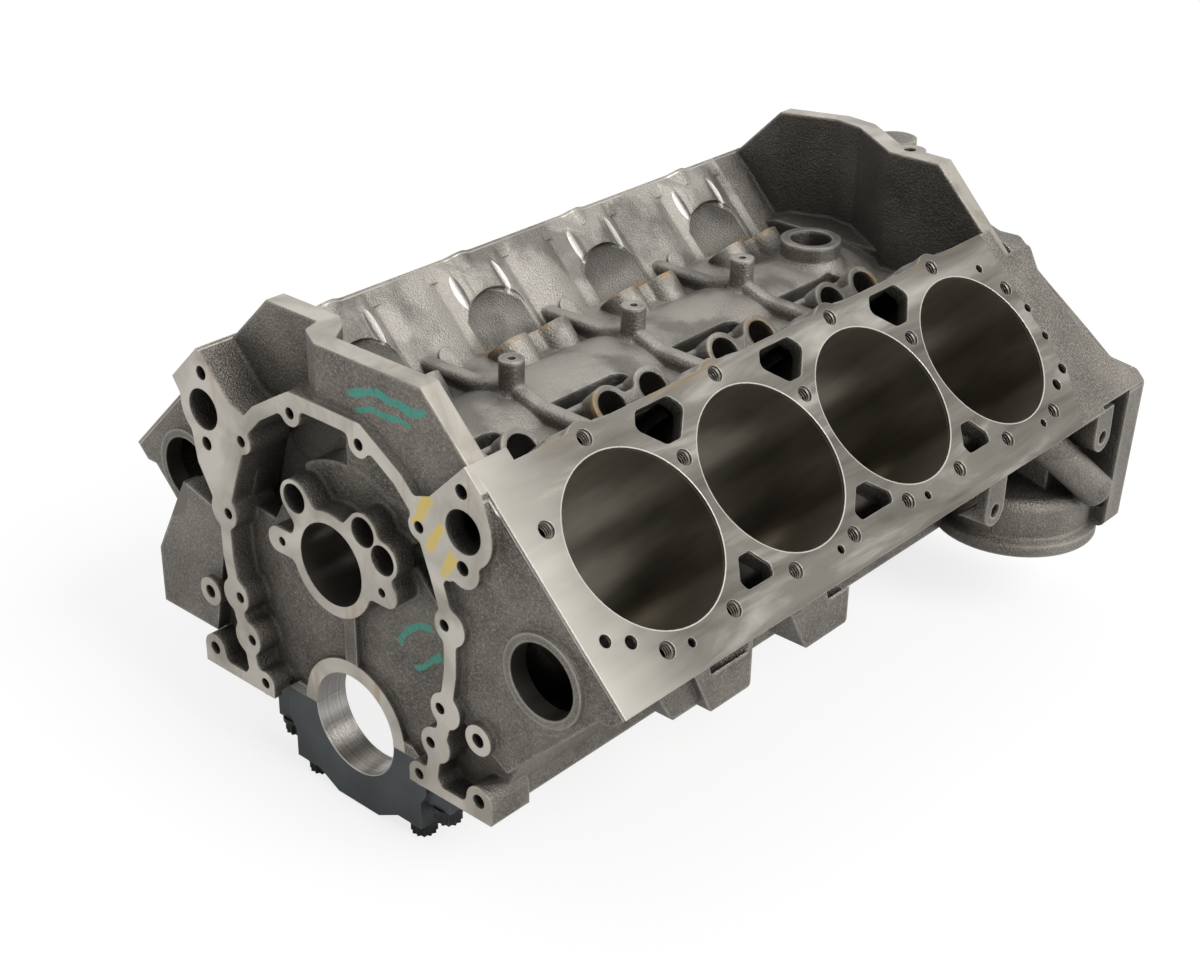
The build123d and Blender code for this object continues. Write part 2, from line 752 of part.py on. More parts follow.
def half_band():
    """The right half of the sealing band: one bent strip with a boss at each cover bolt."""
    line = (timing_line_start,) + timing_line
    faces = [flat_strip(line[k], line[k + 1], timing_band_width) for k in range(len(line) - 1)]
    for index, (x, z) in enumerate(timing_bolts):
        is_side_boss = 2 <= index <= 4
        radius = timing_side_boss_radius if is_side_boss else timing_boss_radius
        faces.append(disc(x + (side_boss_shift if is_side_boss else 0), z, radius))
    low_lug = min(front_lug_z)
    foot = [(timing_foot_start, pan_rail_z), (front_lug_x + front_lug_radius, pan_rail_z),
            (front_lug_x + front_lug_radius, low_lug), (front_lug_x - front_lug_radius, low_lug),
            (104, 3.5), (86, 3.5), (80, 12), (timing_foot_start, 6)]
    faces += [face_sketch(foot), disc(front_lug_x, low_lug, front_lug_radius)]
    return faces


def pump_pad(outer_points):
    """A pad around one water port and its two pump bolts, cut off by the deck plane."""
    corner_z = deck_height / bank_cos - pump_pad_corner_x
    inner = [(70, 162), (73, 186), (82, 189), (pump_pad_corner_x, corner_z)]
    faces = [face_sketch(inner + outer_points), disc(water_port_x, water_port_z, pump_port_boss_radius)]
    return faces + [disc(pump_bolt_x, pump_bolt_z[1], pump_bolt_boss_radius)]


def timing_flange():
    """The face that the timing cover and the water pump bolt to."""
    right = pump_pad([(120, 204), (127, 184), (118, 158), (96, 143), (84, 150)])
    left = pump_pad([(134, 190.2), (127, 180), (119, 158), (116, 140), (105, 121), (94, 118), (84, 150)])
    right_face = soft_union(half_band() + right, timing_hollow_radius)
    left_face = mirror(soft_union(half_band() + left, timing_hollow_radius), about=Plane.YZ)
    lugs = [rod(side * front_lug_x, z, front_lug_radius, 0, chest_floor_y + 12)
            for side in (1, -1) for z in front_lug_z]
    return [through_y(right_face, 0, timing_band_depth), through_y(left_face, 0, timing_band_depth)] + lugs


def chest_cuts():
    """The timing chest: shallow on the right, deeper behind the set back left bank."""
    top = timing_line_start[1] - 3
    foot = pan_rail_z - 10
    half = [(28, 205), (60, 187), (72, 170), (92, 113), (91, 60), (80, 22), (68, 2), (68, foot)]
    both = half + [(-x, z) for x, z in reversed(half)]
    left_side = [(-28, 204), (-60, 187), (-72, 170), (-88, 116), (-66, 113.6), (-46, 150), (0, 166),
                 (0, top)]
    return [prism(both, -1, chest_floor_y, chest_corner_radius), prism(left_side, -1, timing_left_depth)]


def cam_boss():
    """The cam bearing's ring, its two ears and the oil gallery lobes, in one flat face."""
    back = chest_floor_y + 2
    ears = [flat_strip((0, cam_ear_z), (side * cam_ear_reach, cam_ear_z), 2 * cam_ear_radius)
            for side in (-1, 1)]
    faces = [disc(0, cam_height, cam_ring_radius)] + ears
    for x, z in gallery_holes:
        faces.append(flat_strip((x * 0.6, cam_height + (z - cam_height) * 0.6), (x, z),
                                2 * gallery_boss_radius))
    adds = [through_y(soft_union(faces, cam_hollow_radius), 0, back)]
    adds += [rod(x, z, gallery_boss_radius, 0, back + gallery_hole_depth - 4) for x, z in gallery_holes]
    rib = [(-saddle_rib_half_width, saddle_radius - 4), (saddle_rib_half_width, saddle_radius - 4),
           (saddle_rib_half_width, cam_height - 20), (-saddle_rib_half_width, cam_height - 20)]
    adds.append(prism(rib, front_web_start, back))
    return adds


def saddle_boss():
    ring = rod(0, 0, saddle_radius, front_web_start, chest_floor_y + 2)
    foot = prism([(-saddle_foot_half_width, 0), (saddle_foot_half_width, 0),
                  (saddle_foot_half_width - 10, register_depth),
                  (-saddle_foot_half_width + 10, register_depth)], front_web_start, chest_floor_y + 2)
    return [ring, foot]


def timing_holes():
    holes = []
    for x, z in both_sides(timing_bolts):
        holes.append(rod(x, z, timing_bolt_radius, -1, 20))
    for side in (1, -1):
        depth = bank_front_y + jacket_end_wall + 3
        depth += bank_offset if side < 0 else 0
        holes.append(rod(side * water_port_x, water_port_z, water_port_radius, -1, depth))
        for z in pump_bolt_z:
            holes.append(rod(side * pump_bolt_x, z, pump_bolt_radius, -1, 22))
        for z in front_lug_z:
            holes.append(rod(side * front_lug_x, z, front_lug_hole_radius, -1, 22))
        holes.append(rod(side * cam_ear_hole_x, cam_ear_z, cam_ear_hole_radius, -1, 16))
    for x, z in gallery_holes:
        holes.append(rod(x, z, gallery_hole_radius, -1, gallery_hole_depth))
    return holes


# Rear flange, oil filter boss, mounts and pan rail

def rear_flange():
    outline = list(flange_outline) + [(-x, z) for x, z in reversed(flange_outline)]
    plate = prism(outline, flange_front_y, rear_face_y, flange_corner_radius)
    inner = [(x * 0.86, z * 0.86 + 6) for x, z in flange_outline]
    neck = prism(inner + [(-x, z) for x, z in reversed(inner)], bank_rear_y - 2, flange_front_y + 1)
    return [plate, neck]


def rear_flange_cuts():
    """The hollow of the gearbox face, its bolt holes and dowel holes."""
    hollow = [(60, 176), (104, 160), (160, 118), (186, 96), (188, 22), (150, 14), (60, 60)]
    recess = face_sketch(hollow + [(-x, z) for x, z in reversed(hollow)], flange_corner_radius)
    recess -= [disc(x, z, flange_dowel_boss_radius) for x, z in both_sides([flange_dowel])]
    cuts = [through_y(recess, rear_wall_y, rear_face_y + 1)]
    for x, z in both_sides(flange_bolts):
        cuts.append(rod(x, z, flange_bolt_radius, flange_front_y - 1, rear_face_y + 1))
    for x, z in both_sides([flange_dowel]):
        cuts.append(rod(x, z, flange_dowel_radius + flange_dowel_clearance,
                        rear_face_y - flange_dowel_depth, rear_face_y + 1))
    return cuts


def gearbox_dowels():
    """Two plain pins that stand out of the gearbox face and locate the gearbox housing."""
    start = rear_face_y - flange_dowel_depth
    pins = [rod(x, z, flange_dowel_radius, start, start + flange_dowel_length)
            for x, z in both_sides([flange_dowel])]
    return Compound(children=pins)


def filter_boss():
    """A round oil filter seat with a lip, a short neck and a domed top, and its oil passage."""
    shoulder = filter_shoulder_radius
    lip_top = pan_rail_z + filter_lip
    side = Polyline((0, pan_rail_z), (filter_radius, pan_rail_z), (filter_radius, lip_top),
                    (filter_neck_radius, lip_top + 3), (filter_neck_radius, filter_shoulder_z))
    turn = RadiusArc(side @ 1, (filter_neck_radius - shoulder, filter_shoulder_z + shoulder), -shoulder)
    crown = Polyline(turn @ 1, (0, filter_top_z), (0, pan_rail_z))
    seat = Pos(filter_x, filter_y, 0) * revolve(Plane.XZ * make_face(side + turn + crown), Axis.Z)
    return [seat - behind_rear_face(), bar(oil_passage_start, oil_passage_end, oil_passage_radius)]


def edge_ears():
    """Ears under the deck's outer edge: a round foot, and straight sides up into the lip."""
    adds = []
    for y, z in edge_ear_places:
        deck_z = bank_xz(outer_edge, deck_height - deck_lip)[1]
        face = Pos(y, z) * Circle(edge_ear_radius) + Pos(y, (z + deck_z + 6) / 2) * Rectangle(
            2 * edge_ear_radius, deck_z + 6 - z)
        adds.append(extrude(Plane.YZ.offset(edge_ear_face_x - 45) * face, amount=45))
    return adds


def edge_ear_holes():
    return [Pos(edge_ear_face_x, y, z) * Rot(0, 90, 0) * Cylinder(edge_ear_hole_radius,
                                                                 2 * edge_ear_hole_depth)
            for y, z in edge_ear_places]


def filter_cuts():
    ring = post(filter_x, filter_y, filter_recess_radius, pan_rail_z - 1, pan_rail_z + filter_recess_depth)
    inner = post(filter_x, filter_y, filter_stud_radius + 8, pan_rail_z - 2,
                 pan_rail_z + filter_recess_depth + 1)
    stud = post(filter_x, filter_y, filter_stud_radius, pan_rail_z - 2, filter_top_z - 18)
    return [ring - inner, stud]


def mount_boss(span, face_x, foot_z):
    """A block under the bank's side, cut slanting at its front foot."""
    front_top, front_foot, rear = span
    outline = [(front_top, mount_boss_top_z), (front_foot, foot_z), (rear, foot_z),
               (rear, mount_boss_top_z)]
    face = face_sketch(outline, mount_boss_rounding)
    return extrude(Plane.YZ.offset(mount_boss_inner_x) * face, amount=face_x - mount_boss_inner_x)


def mount_bosses():
    blocks = [mount_boss(span, mount_boss_x, mount_boss_foot_z) for span in mount_boss_spans]
    return blocks + [mount_boss(mount_small_lug_span, mount_small_lug_x, mount_small_lug_foot_z)]


def fuel_pump_pad():
    low, high = pump_pad_z
    outline = [(-pan_rail_half_width, low), (-pump_pad_x, low), (-pump_pad_x, high),
               (-pump_pad_top_x, pump_pad_top_z), (-pump_pad_top_x + 40, pump_pad_top_z - 10)]
    return prism(outline, *pump_pad_y)


def pan_rail_holes():
    first = chest_floor_y + pan_bolts_front_margin
    last = rear_face_y - pan_bolts_rear_margin
    pitch = (last - first) / (pan_bolt_count - 1)
    return [post(side * pan_bolt_x, first + pitch * k, pan_bolt_radius, pan_rail_z - 1,
                 pan_rail_z + pan_bolt_depth) for k in range(pan_bolt_count) for side in (1, -1)]


def block_casting():
    body = crankcase_body() + on_both_banks([bank_body()] + deck_valley_edge())
    body += on_both_banks(wall_columns() + wall_tabs())
    body += on_both_banks(wall_brows() + lifter_bosses())
    body += rear_flange() + filter_boss() + edge_ears() + on_both_banks([deck_rear_shelf()])
    body -= behind_rear_face()
    body += on_both_banks(mount_bosses())
    body += fuel_pump_pad()
    body += (valley_front_wall() + valley_rear_wall()) - above_deck()
    body -= chest_cuts()
    body += timing_flange() + cam_boss() + saddle_boss()
    body += on_both_banks([front_core_rim_ring()])
    body += [valley_ridge()] + valley_posts() + window_lips()
    body -= crankcase_bays()
    body -= on_both_banks([water_jacket()])
    body -= on_both_banks(cylinder_bores() + water_passages() + core_holes())
    body -= on_both_banks(deck_holes() + lifter_bores())
    body -= main_line_cuts() + valley_windows() + valley_holes() + timing_holes()
    body -= rear_flange_cuts() + filter_cuts() + pan_rail_holes() + edge_ear_holes()
    return body


# Main bearing caps

def main_cap(index):
    """A bearing cap with a keel, two inner bolt faces and two lower wings for the outer bolts."""
    start, end = web_spans[index]
    half = [(cap_front_half_width, -cap_clearance), (cap_front_half_width, -cap_front_chamfer_top),
            (cap_body_half_width, -cap_wing_depth), (cap_body_half_width, -cap_shoulder_depth),
            (cap_keel_edge_half_width, -cap_shoulder_depth), (cap_keel_half_width, -cap_depth)]
    outline = half + [(-x, z) for x, z in reversed(half)]
    wings = [(cap_half_width, -cap_clearance), (cap_half_width, -cap_wing_depth),
             (-cap_half_width, -cap_wing_depth), (-cap_half_width, -cap_clearance)]
    cap = prism(outline, start, end) + prism(wings, start + cap_wing_setback, end - cap_wing_setback)
    cap -= rod(0, 0, main_bore_diameter / 2, start - 1, end + 1)
    middle = (start + end) / 2
    for side in (-1, 1):
        cap -= post(side * inner_bolt_x, middle, bolt_shank_radius + bolt_hole_clearance,
                    -cap_depth - 1, 1)
        cap -= post(side * outer_bolt_x, middle, bolt_shank_radius + bolt_hole_clearance,
                    -cap_depth - 1, 1)
    return cap


def cap_bolt(x, y, seat_z, reach):
    """A bolt with a round flange and a head of twelve points."""
    flange = post(x, y, bolt_flange_radius, seat_z - bolt_flange_height, seat_z)
    square = bolt_head_radius * sqrt(2)
    squares = [Pos(x, y, seat_z - bolt_head_height / 2) * Rot(0, 0, 360 / bolt_head_points * k)
               * Box(square, square, bolt_head_height) for k in range(bolt_head_points // 4)]
    shank = post(x, y, bolt_shank_radius, seat_z - 1, reach)
    return flange + squares + shank


def cap_bolts(index, x, seat_z, reach):
    start, end = web_spans[index]
    middle = (start + end) / 2
    return Compound(children=[cap_bolt(side * x, middle, seat_z, reach) for side in (-1, 1)])


def save(node, shape):
    export_step(Pos(0, -front_web_start, 0) * shape, f"parts/{node}.step")


os.makedirs("parts", exist_ok=True)
save("block_casting", block_casting())
for index, name in enumerate(("front", "second", "third", "fourth", "rear")):
    save(f"main_cap_{name}", main_cap(index))
    save(f"main_cap_{name}_inner_bolts",
         cap_bolts(index, inner_bolt_x, -cap_shoulder_depth, inner_bolt_reach - bolt_tip_gap))
    save(f"main_cap_{name}_outer_bolts",
         cap_bolts(index, outer_bolt_x, -cap_wing_depth, outer_bolt_reach - bolt_tip_gap))
save("gearbox_dowels", gearbox_dowels())
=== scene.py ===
import bpy
from math import pi, radians, sqrt
from mathutils import Matrix, Vector


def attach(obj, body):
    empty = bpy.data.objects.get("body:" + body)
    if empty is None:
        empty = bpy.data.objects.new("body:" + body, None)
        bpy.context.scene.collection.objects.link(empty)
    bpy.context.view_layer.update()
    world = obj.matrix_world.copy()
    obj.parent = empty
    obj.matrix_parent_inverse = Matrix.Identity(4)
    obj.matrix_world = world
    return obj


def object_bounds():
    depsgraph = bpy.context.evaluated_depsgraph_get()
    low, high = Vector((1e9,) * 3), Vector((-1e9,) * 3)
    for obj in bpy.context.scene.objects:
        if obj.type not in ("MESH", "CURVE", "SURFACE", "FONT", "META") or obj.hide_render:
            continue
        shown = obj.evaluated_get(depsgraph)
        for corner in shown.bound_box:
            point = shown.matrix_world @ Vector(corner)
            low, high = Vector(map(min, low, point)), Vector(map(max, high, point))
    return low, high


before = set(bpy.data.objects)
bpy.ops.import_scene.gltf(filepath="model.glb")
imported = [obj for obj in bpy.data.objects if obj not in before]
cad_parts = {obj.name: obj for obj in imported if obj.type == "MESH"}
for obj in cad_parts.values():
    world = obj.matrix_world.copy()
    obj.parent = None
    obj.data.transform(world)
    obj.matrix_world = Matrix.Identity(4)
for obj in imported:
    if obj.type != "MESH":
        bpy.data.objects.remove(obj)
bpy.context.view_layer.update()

# Block casting: one piece of grey iron, sand cast, then machined on its decks, end faces, bores,
# wall tops and pan rail. Its rough skin is a dark warm grey, brighter where edges stand proud,
# partly from wear and partly as a painted highlight.
# The shader finds each machined surface by its place, and all the rest stays rough.
root_half = sqrt(0.5)
cut_margin = 0.0004


def new_material(name):
    """A node material, with its node tree and its surface shader."""
    material = bpy.data.materials.new(name)
    material.use_nodes = True
    tree = material.node_tree
    return material, tree, tree.nodes["Principled BSDF"]


def set_inputs(tree, node, inputs):
    """Give a node's inputs their values. Another node's socket is wired in."""
    for key, value in dict(inputs).items():
        if isinstance(value, bpy.types.NodeSocket):
            tree.links.new(value, node.inputs[key])
        else:
            node.inputs[key].default_value = value


def put(tree, kind, inputs=(), **settings):
    """One node, with its settings and inputs."""
    node = tree.nodes.new(kind)
    for key, value in settings.items():
        setattr(node, key, value)
    set_inputs(tree, node, inputs)
    return node


def put_group(tree, group, inputs):
    """One use of a shader group, with its own values."""
    return put(tree, "ShaderNodeGroup", inputs, node_tree=group)


def object_place(tree):
    """Each point's place, in metres from the front of the front main bearing."""
    return put(tree, "ShaderNodeTexCoord").outputs["Object"]


def stretched(tree, place, scale, turn=0.0):
    """A place turned flat by an angle and scaled along each way, to draw out a pattern."""
    return put(tree, "ShaderNodeMapping", {"Vector": place, "Rotation": (0.0, 0.0, turn),
                                           "Scale": scale}).outputs[0]


def noise(tree, place, scale, detail, **shape):
    """Soft random values from 0 to 1, the same each time for the same place."""
    return put(tree, "ShaderNodeTexNoise", {"Vector": place, "Scale": scale, "Detail": detail,
                                            **shape}).outputs[0]


def sums(tree, operation, first, second=0.0, third=0.0):
    """The result of one sum on numbers or sockets."""
    return put(tree, "ShaderNodeMath", {0: first, 1: second, 2: third}, operation=operation).outputs[0]


def less(tree, value, limit):
    """1 where a value is under a limit, else 0."""
    return sums(tree, "LESS_THAN", value, limit)


def more(tree, value, limit):
    """1 where a value is over a limit, else 0."""
    return sums(tree, "GREATER_THAN", value, limit)


def at_level(tree, value, level):
    """1 where a value is at a machined level, else 0."""
    return sums(tree, "COMPARE", value, level, cut_margin)


def blend(tree, share, first, second):
    """A colour between two, by a share from 0 to 1."""
    node = put(tree, "ShaderNodeMix", {0: share, 6: first, 7: second}, data_type="RGBA")
    return node.outputs[2]


def between(tree, value, low, high, out_low=0.0, out_high=1.0):
    """A value spread from one range to another, held at the ends."""
    return put(tree, "ShaderNodeMapRange", {0: value, 1: low, 2: high, 3: out_low, 4: out_high},
               clamp=True).outputs[0]


def both(tree, *values):
    """The product of masks: 1 only where all of them are."""
    result = values[0]
    for value in values[1:]:
        result = sums(tree, "MULTIPLY", result, value)
    return result


def most(tree, *values):
    """The highest of several masks."""
    result = values[0]
    for value in values[1:]:
        result = sums(tree, "MAXIMUM", result, value)
    return result


def reach_from(tree, first, second):
    """Distance from a line, given the two offsets across it."""
    squares = sums(tree, "ADD", sums(tree, "MULTIPLY", first, first),
                   sums(tree, "MULTIPLY", second, second))
    return sums(tree, "SQRT", squares)


def new_group(name, inputs, outputs):
    """An empty shader group with named sockets, with what it is given and its end node."""
    group = bpy.data.node_groups.new(name, "ShaderNodeTree")
    for way, sockets in (("INPUT", inputs), ("OUTPUT", outputs)):
        for socket, kind in sockets.items():
            group.interface.new_socket(socket, in_out=way, socket_type="NodeSocket" + kind)
    return group, group.nodes.new("NodeGroupInput").outputs, group.nodes.new("NodeGroupOutput")


def sand_grain_group():
    """Cast grain: sand texture with small pits, and a slower unevenness under it."""
    pits_per_grain = 0.8
    pit_height = 0.5
    cloud_height = 1.5
    group, given, leave = new_group("sand_grain", {"Place": "Vector", "Grains per metre": "Float"},
                                    {"Height": "Float", "Speckle": "Float", "Cloud": "Float"})
    sand = noise(group, given["Place"], given["Grains per metre"], 3.0, Roughness=0.7)
    pit_scale = sums(group, "MULTIPLY", given["Grains per metre"], pits_per_grain)
    pits = put(group, "ShaderNodeTexVoronoi", {"Vector": given["Place"], "Scale": pit_scale}).outputs[0]
    cloud = noise(group, given["Place"], 26.0, 5.0)
    height = sums(group, "ADD", sand, sums(group, "MULTIPLY", pits, pit_height))
    height = sums(group, "ADD", height, sums(group, "MULTIPLY", cloud, cloud_height))
    set_inputs(group, leave, {"Height": height, "Speckle": sand, "Cloud": cloud})
    return group


def edge_wear_and_highlight_group():
    """Edges: a normal that rounds each edge by a radius, and a mask of each edge for wear and painted
    highlight.
    """
    group, given, leave = new_group("edge_wear_and_highlight", {"Radius": "Float", "Start": "Float", "Full": "Float"},
                                    {"Edge": "Float", "Normal": "Vector"})
    rounded = put(group, "ShaderNodeBevel", {"Radius": given["Radius"]}, samples=4).outputs[0]
    flat = put(group, "ShaderNodeNewGeometry").outputs["True Normal"]
    turn = put(group, "ShaderNodeVectorMath", {0: rounded, 1: flat}, operation="DOT_PRODUCT")
    edge = between(group, turn.outputs["Value"], given["Start"], given["Full"])
    set_inputs(group, leave, {"Edge": edge, "Normal": rounded})
    return group


def turning_marks_group():
    """Fine rings that a tool leaves as it moves along a bore or a pin."""
    group, given, leave = new_group("turning_marks", {"Place": "Vector", "Across": "Float",
                                                      "Along": "Float"}, {"Rings": "Float"})
    scale = put(group, "ShaderNodeCombineXYZ", {0: given["Across"], 1: given["Along"],
                                                2: given["Across"]}).outputs[0]
    set_inputs(group, leave, {"Rings": noise(group, stretched(group, given["Place"], scale), 1.0, 2.0)})
    return group


def marker_group():
    """One stroke of a paint marker on a face that looks along Y: a wavy band with dry ends."""
    waver_width = 0.016
    side_softness = 0.0006
    end_softness = 0.002
    group, given, leave = new_group(
        "marker_stroke", {"Place": "Vector", "Middle": "Vector", "Turn": "Float",
                          "Half length": "Float", "Half width": "Float"}, {"Paint": "Float"})
    moved = put(group, "ShaderNodeVectorMath", {0: given["Place"], 1: given["Middle"]},
                operation="SUBTRACT").outputs[0]
    turned = put(group, "ShaderNodeVectorRotate", {"Vector": moved, "Angle": given["Turn"]},
                 rotation_type="Y_AXIS").outputs[0]
    parts = put(group, "ShaderNodeSeparateXYZ", {0: turned}).outputs
    waver = sums(group, "SUBTRACT", noise(group, given["Place"], 38.0, 1.0), 0.5)
    drift = sums(group, "MULTIPLY", waver, waver_width)
    off_line = sums(group, "ABSOLUTE", sums(group, "ADD", parts[2], drift))
    within = between(group, sums(group, "SUBTRACT", given["Half width"], off_line), 0.0, side_softness)
    off_end = sums(group, "ABSOLUTE", parts[0])
    before_end = between(group, sums(group, "SUBTRACT", given["Half length"], off_end), 0.0, end_softness)
    covered = between(group, noise(group, given["Place"], 300.0, 2.0), 0.3, 0.44, 0.35, 1.0)
    set_inputs(group, leave, {"Paint": both(group, within, before_end, covered)})
    return group


sand_grain = sand_grain_group()
edge_wear_and_highlight = edge_wear_and_highlight_group()
turning_marks = turning_marks_group()
marker_stroke = marker_group()

# Places on the block: across it, along it and up, and the same seen from either bank's bore row
bank_offset = 0.022352
skin, tree, metal = new_material("cast_iron_block")
place = object_place(tree)
across, along, up = put(tree, "ShaderNodeSeparateXYZ", {0: place}).outputs
flat_normal = put(tree, "ShaderNodeNewGeometry").outputs["True Normal"]
facing_along = put(tree, "ShaderNodeSeparateXYZ", {0: flat_normal}).outputs[1]
side = sums(tree, "ABSOLUTE", across)
left = less(tree, across, 0.0)
bank_along = sums(tree, "SUBTRACT", along, sums(tree, "MULTIPLY", left, bank_offset))
bank_up = sums(tree, "MULTIPLY", sums(tree, "ADD", side, up), root_half)
bank_out = sums(tree, "MULTIPLY", sums(tree, "SUBTRACT", side, up), root_half)

# Machined faces: the two decks, and the faces of the ends, wall tops, pan rail and saddle
deck_height = 0.229235
deck_rear_end = 0.4687
deck_rear_slant_start = 0.040
deck_rear_slant = 0.51
wall_end_height = 0.227235
wall_top = 0.24765
timing_face = -0.0118
gearbox_face = 0.5382
pan_rail = -0.0036
saddle_face = 0.0
saddle_ring_radius = 0.0432
past_start = sums(tree, "MAXIMUM", 0.0, sums(tree, "SUBTRACT", bank_out, deck_rear_slant_start))
slanted_end = sums(tree, "MULTIPLY", past_start, deck_rear_slant)
before_shelf = less(tree, sums(tree, "ADD", bank_along, slanted_end), deck_rear_end)
deck = both(tree, at_level(tree, bank_up, deck_height), before_shelf)
from_crank = reach_from(tree, across, up)
saddle = both(tree, at_level(tree, along, saddle_face), less(tree, from_crank, saddle_ring_radius))
faced = most(tree, at_level(tree, bank_up, wall_end_height), at_level(tree, up, wall_top),
             at_level(tree, along, timing_face), at_level(tree, along, gearbox_face),
             at_level(tree, up, pan_rail), saddle)
not_face = sums(tree, "SUBTRACT", 1.0, most(tree, deck, faced))

# Bores, told by their distance from each axis
main_bore_radius = 0.03354
cam_height = 0.11483
cam_bore_radius = 0.02575
core_plug_x = 0.16051
core_plug_z = 0.10819
core_plug_radius = 0.0222
bore_diameter = 0.104775
bore_radius = bore_diameter / 2
bore_spacing = 0.11176
bores_per_bank = 4
first_bore_from_face = 0.0812
first_bore = timing_face + first_bore_from_face
barrel_foot = 0.097
rim_width = 0.0007
over_middle = sums(tree, "SUBTRACT", bank_along, first_bore - bore_spacing / 2)
in_row = both(tree, more(tree, over_middle, 0.0),
              less(tree, over_middle, bores_per_bank * bore_spacing), more(tree, bank_up, barrel_foot))
over_bore = sums(tree, "SUBTRACT", sums(tree, "FLOORED_MODULO", over_middle, bore_spacing),
                 bore_spacing / 2)
from_bore = reach_from(tree, bank_out, over_bore)
from_cam = reach_from(tree, across, sums(tree, "SUBTRACT", up, cam_height))
from_plug = reach_from(tree, sums(tree, "SUBTRACT", side, core_plug_x),
                       sums(tree, "SUBTRACT", up, core_plug_z))
rim = both(tree, deck, in_row, less(tree, from_bore, bore_radius + rim_width))
in_bore = both(tree, less(tree, from_bore, bore_radius + cut_margin), in_row, not_face)
in_main = both(tree, less(tree, from_crank, main_bore_radius + cut_margin), not_face)
in_cam = both(tree, less(tree, from_cam, cam_bore_radius + cut_margin), not_face)
in_plug = both(tree, less(tree, from_plug, core_plug_radius + cut_margin), not_face)
turned = most(tree, in_cam, in_plug)
smooth = most(tree, deck, faced, turned, in_bore, in_main)

# Grain, edges and hollows: cast edges are soft and rubbed bright, partly as a painted sheen, cut ones
# nearly sharp; hollows are found for painted shade
hollow_reach = 0.035
grain = put_group(tree, sand_grain, {"Place": place, "Grains per metre": 820.0}).outputs
cast_edge = put_group(tree, edge_wear_and_highlight, {"Radius": 0.0042, "Start": 0.95, "Full": 0.7}).outputs
cut_edge = put_group(tree, edge_wear_and_highlight, {"Radius": 0.0009, "Start": 0.97, "Full": 0.75}).outputs
hollow = put(tree, "ShaderNodeAmbientOcclusion", {"Distance": hollow_reach}, samples=5).outputs["AO"]
open_air = between(tree, hollow, 0.45, 0.95)

# Rough skin: dark iron with pale grains, paler in the valley partly as blasted skin and partly as
# painted light, and with painted shade on the rear wall and in the hollows
skin_dark = (0.045, 0.041, 0.036, 1)
skin_mid = (0.25, 0.229, 0.197, 1)
skin_pale = (0.52, 0.495, 0.45, 1)
painted_shade_black = (0.02, 0.018, 0.017, 1)
rust_colour = (0.3, 0.185, 0.07, 1)
valley_edge = 0.0665
valley_start = 0.026
valley_end = 0.47
valley_facing = -0.45
valley_pale_and_painted_light = 0.42
filter_x = 0.1495
filter_y = 0.4982
filter_reach = 0.066
filter_top = 0.075
filter_brightness = 0.08
rear_wall_start = 0.44
rear_wall_foot = 0.13
rear_wall_facing = -0.75
rear_wall_painted_shade = 0.62
cloud_share = 0.45
speckle_share = 0.75
skin_rust_strength = 0.65
tone = sums(tree, "ADD", sums(tree, "MULTIPLY", grain["Cloud"], cloud_share),
            sums(tree, "MULTIPLY", grain["Speckle"], speckle_share))
rough_colour = blend(tree, between(tree, tone, 0.38, 0.78), skin_dark, skin_mid)
pale_grains = between(tree, grain["Speckle"], 0.58, 0.76, 0.0, 0.45)
rough_colour = blend(tree, pale_grains, rough_colour, skin_pale)
over_valley = less(tree, bank_out, -valley_edge)
in_valley = both(tree, over_valley, more(tree, along, valley_start), less(tree, along, valley_end),
                 between(tree, facing_along, rear_wall_facing, valley_facing))
from_filter = reach_from(tree, sums(tree, "SUBTRACT", across, filter_x),
                         sums(tree, "SUBTRACT", along, filter_y))
by_filter = both(tree, less(tree, from_filter, filter_reach), less(tree, up, filter_top))
# Painted light, and partly a paler blasted skin: valley faces turned away from the front are made paler,
# and the skin round the filter boss a little paler
valley_light_and_filter_paler = most(tree, sums(tree, "MULTIPLY", in_valley, valley_pale_and_painted_light),
                sums(tree, "MULTIPLY", by_filter, filter_brightness))
rough_colour = blend(tree, valley_light_and_filter_paler, rough_colour, skin_pale)
patches = both(tree, between(tree, grain["Cloud"], 0.52, 0.4, 0.0, 0.5), in_valley)
rough_colour = blend(tree, patches, rough_colour, skin_dark)
# Painted shade: the inner face of the rear wall, which looks towards the front, is darkened
on_rear_wall = both(tree, more(tree, along, rear_wall_start), more(tree, up, rear_wall_foot),
                    over_valley, less(tree, facing_along, rear_wall_facing))
rough_colour = blend(tree, sums(tree, "MULTIPLY", on_rear_wall, rear_wall_painted_shade), rough_colour,
                     painted_shade_black)
# Painted shade: the skin is darkened in hollows, creases and recesses
rough_colour = blend(tree, between(tree, hollow, 0.35, 0.85, 0.8, 0.0), rough_colour, skin_dark)
# Proud cast edges are made pale, partly as rubbed wear and partly as a painted sheen highlight
rubbed_and_sheen_edges = both(tree, cast_edge["Edge"], between(tree, grain["Cloud"], 0.3, 0.6, 0.5, 1.0), open_air)
rough_colour = blend(tree, rubbed_and_sheen_edges, rough_colour, skin_pale)
rust_patch = noise(tree, place, 17.0, 5.0)
rust = both(tree, between(tree, rust_patch, 0.52, 0.64), cut_edge["Edge"])
rough_colour = blend(tree, sums(tree, "MULTIPLY", rust, skin_rust_strength), rough_colour, rust_colour)

